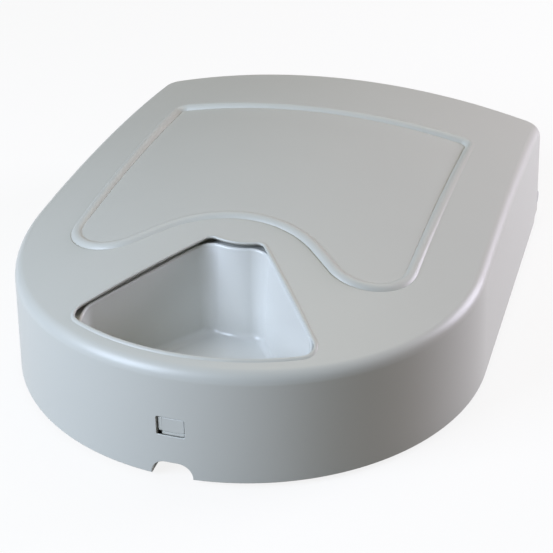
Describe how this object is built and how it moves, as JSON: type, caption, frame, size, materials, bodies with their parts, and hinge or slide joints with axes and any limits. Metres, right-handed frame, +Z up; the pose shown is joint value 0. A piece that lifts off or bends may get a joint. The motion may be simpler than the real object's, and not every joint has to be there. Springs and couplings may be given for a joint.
{
  "type": "five-meal pet feeder",
  "caption": "Low round-fronted pet feeder: a hinged crowned lid with one wedge opening over a motor-turned tray of meal bowls, in a battery-powered base.",
  "frame": {"origin": "on the floor, under the axis on which the tray turns", "axes": "+Z up, -Y to the front where the open meal is, +X to the feeder's left as it faces the pet (right in the picture)"},
  "size_m": [0.2998, 0.3811, 0.0994],
  "materials": {
    "casing_plastic": "satin moulded, warm light grey",
    "tray_plastic": "smooth moulded, light grey",
    "base_plastic": "fine grain, light grey",
    "control_plastic": "fine grain, dark grey",
    "button_rubber": "satin, pale grey",
    "display_glass": "clear window",
    "display_dark": "grey-green display",
    "board": "green solder mask",
    "gear_plastic": "natural acetal",
    "steel": "bright steel",
    "spring_steel": "nickel plated",
    "brass": "plain",
    "foot_rubber": "matt",
    "cell_jacket": "plain dark jacket",
    "switch_plastic": "black"
  },
  "bodies": {
    "base": {"base_shell": "base_plastic", "base_floor": "base_plastic", "floor_screws": "steel", "rubber_feet": "foot_rubber", "battery_cells": "cell_jacket", "battery_contacts": "spring_steel", "drive_motor": "steel", "idler_axle": "steel", "index_sensor": "switch_plastic", "hub_bearing": "brass", "control_plate": "control_plastic", "display_lens": "display_glass", "display_module": "display_dark", "circuit_board": "board", "tact_switches": "switch_plastic", "latch_pin": "steel", "latch_spring": "spring_steel", "hinge_pins": "base_plastic"},
    "lid": {"lid_shell": "casing_plastic"},
    "turntable": {"meal_tray": "tray_plastic", "drive_hub": "gear_plastic", "drive_gear": "gear_plastic", "index_magnets": "spring_steel"},
    "reduction": {"reduction_gear": "gear_plastic"},
    "pinion": {"motor_pinion": "brass"},
    "latch": {"latch_lever": "casing_plastic"},
    "door_left": {"battery_door_left": "base_plastic"},
    "door_right": {"battery_door_right": "base_plastic"},
    "clock_key": {"clock_button": "button_rubber"},
    "meal_key": {"meal_button": "button_rubber"},
    "down_key": {"down_button": "button_rubber"},
    "up_key": {"up_button": "button_rubber"}
  },
  "joints": [
    {"name": "lid_hinge", "type": "hinge", "parent": "base", "child": "lid", "pos_m": [0, 0.2195, 0.0165], "axis": [-1, 0, 0], "range_deg": [0, 92]},
    {"name": "tray_spin", "type": "hinge", "parent": "base", "child": "turntable", "pos_m": [0, 0, 0.02], "axis": [0, 0, 1], "continuous": true},
    {"name": "reduction_spin", "type": "hinge", "parent": "base", "child": "reduction", "pos_m": [0, 0.049, 0.01], "axis": [0, 0, 1], "continuous": true},
    {"name": "pinion_spin", "type": "hinge", "parent": "base", "child": "pinion", "pos_m": [0, 0.077, 0.01], "axis": [0, 0, 1], "continuous": true},
    {"name": "latch_press", "type": "hinge", "parent": "base", "child": "latch", "pos_m": [0, -0.1418, 0.0215], "axis": [-1, 0, 0], "range_deg": [0, 6], "stiffness_Nm_per_rad": 0.5},
    {"name": "door_left_slide", "type": "slide", "parent": "base", "child": "door_left", "axis": [0, 1, 0], "range_m": [0, 0.06]},
    {"name": "door_right_slide", "type": "slide", "parent": "base", "child": "door_right", "axis": [0, 1, 0], "range_m": [0, 0.06]},
    {"name": "clock_press", "type": "slide", "parent": "base", "child": "clock_key", "axis": [0, 0, -1], "range_m": [0, 0.001], "stiffness_N_per_m": 300},
    {"name": "meal_press", "type": "slide", "parent": "base", "child": "meal_key", "axis": [0, 0, -1], "range_m": [0, 0.001], "stiffness_N_per_m": 300},
    {"name": "down_press", "type": "slide", "parent": "base", "child": "down_key", "axis": [0, 0, -1], "range_m": [0, 0.001], "stiffness_N_per_m": 300},
    {"name": "up_press", "type": "slide", "parent": "base", "child": "up_key", "axis": [0, 0, -1], "range_m": [0, 0.001], "stiffness_N_per_m": 300}
  ],
  "couplings": [
    {"joint": "reduction_spin", "follows": "tray_spin", "ratio": -6},
    {"joint": "pinion_spin", "follows": "tray_spin", "ratio": 18}
  ]
}
